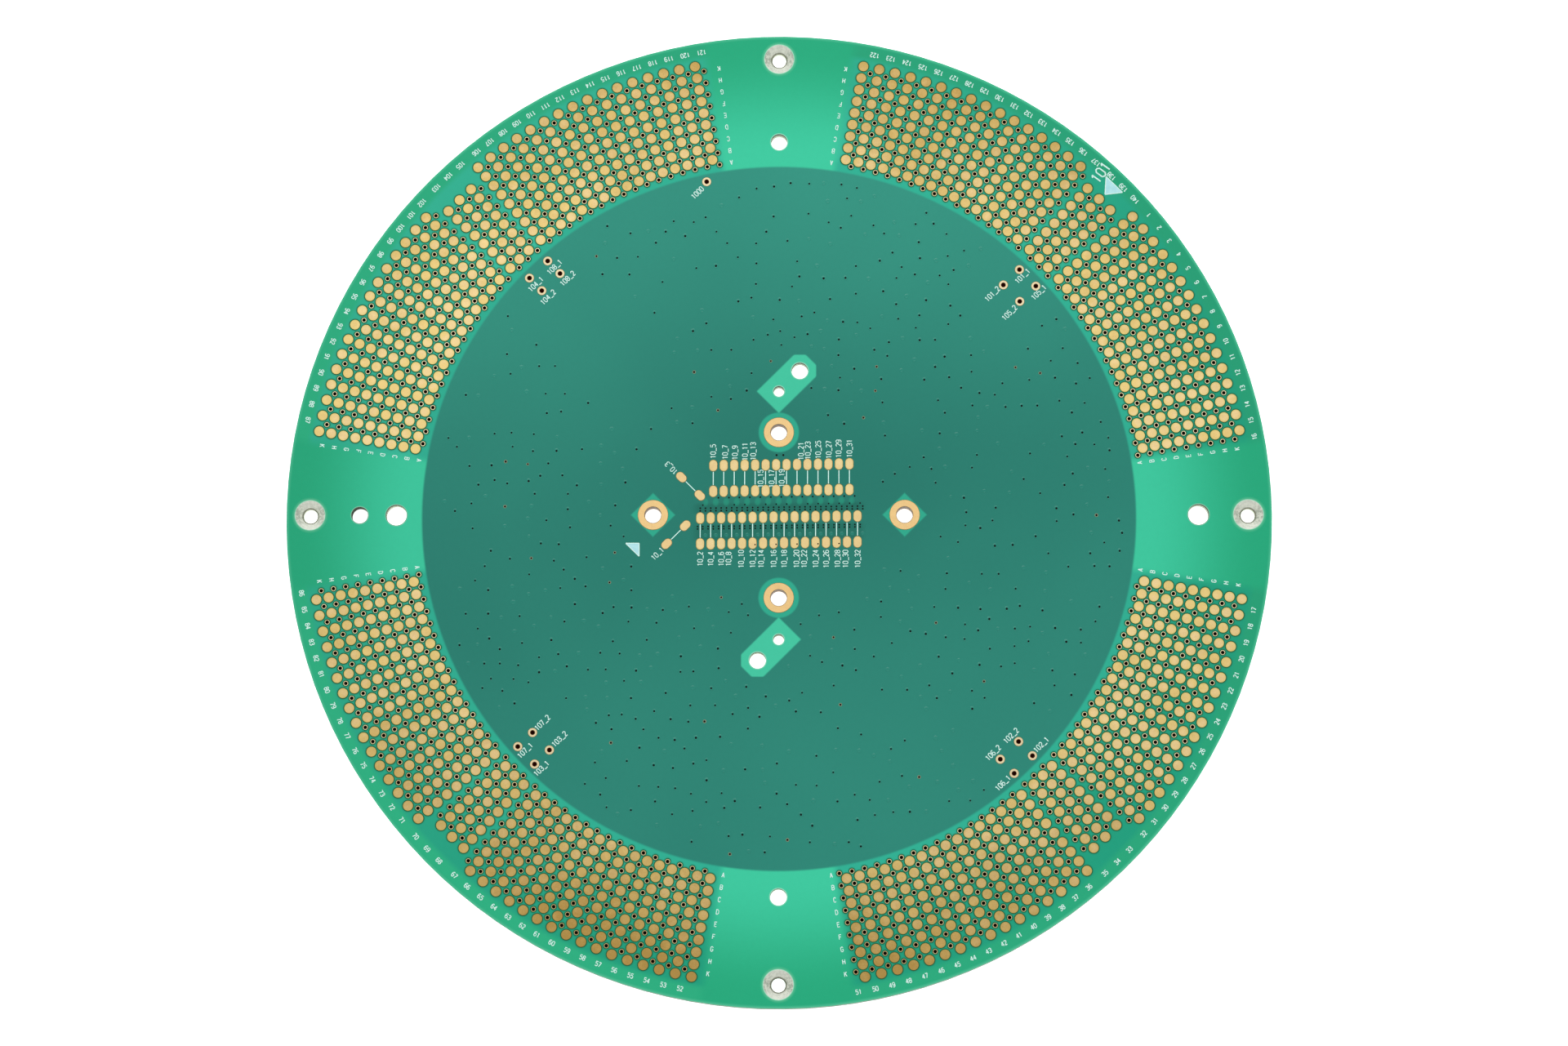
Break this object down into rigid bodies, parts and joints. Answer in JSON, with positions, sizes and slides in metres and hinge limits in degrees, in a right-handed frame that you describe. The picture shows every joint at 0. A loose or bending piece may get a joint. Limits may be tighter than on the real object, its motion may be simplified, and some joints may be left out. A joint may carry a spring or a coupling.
{
  "type": "probe interface board",
  "caption": "Round drilled circuit board with polar fields of gold contact pads, a central block of link pads, plated mounting rings and a countersunk rim.",
  "frame": {"origin": "on the axis of the round board, on its flat back face, which it lies on", "axes": "+Z out of the front face with the contact pads, +Y towards the pad columns 121 and 122 at the top, +X towards columns 16 and 17 on the right"},
  "size_m": [0.2387, 0.2388, 0.0033],
  "materials": {
    "laminate": "glass-epoxy laminate under glossy green solder mask",
    "contact_gold": "matte immersion gold over copper",
    "ring_gold": "plated gold lands and barrels"
  },
  "bodies": {
    "root": {"laminate": "laminate", "contact_pads_1_16": "contact_gold", "contact_pads_17_32": "contact_gold", "contact_pads_33_35": "contact_gold", "contact_pads_36_51": "contact_gold", "contact_pads_52_67": "contact_gold", "contact_pads_68_70": "contact_gold", "contact_pads_71_86": "contact_gold", "contact_pads_87_102": "contact_gold", "contact_pads_103_105": "contact_gold", "contact_pads_106_121": "contact_gold", "contact_pads_122_137": "contact_gold", "contact_pads_138_140": "contact_gold", "link_pads_upper": "contact_gold", "link_pads_lower": "contact_gold", "link_pads_slant_high": "contact_gold", "link_pads_slant_low": "contact_gold", "mounting_ring_right": "ring_gold", "mounting_ring_left": "ring_gold", "mounting_ring_upper": "ring_gold", "mounting_ring_lower": "ring_gold", "test_points_upper_right": "ring_gold", "test_points_upper_left": "ring_gold", "test_points_lower_left": "ring_gold", "test_points_lower_right": "ring_gold", "test_point_single": "ring_gold"}
  },
  "joints": []
}
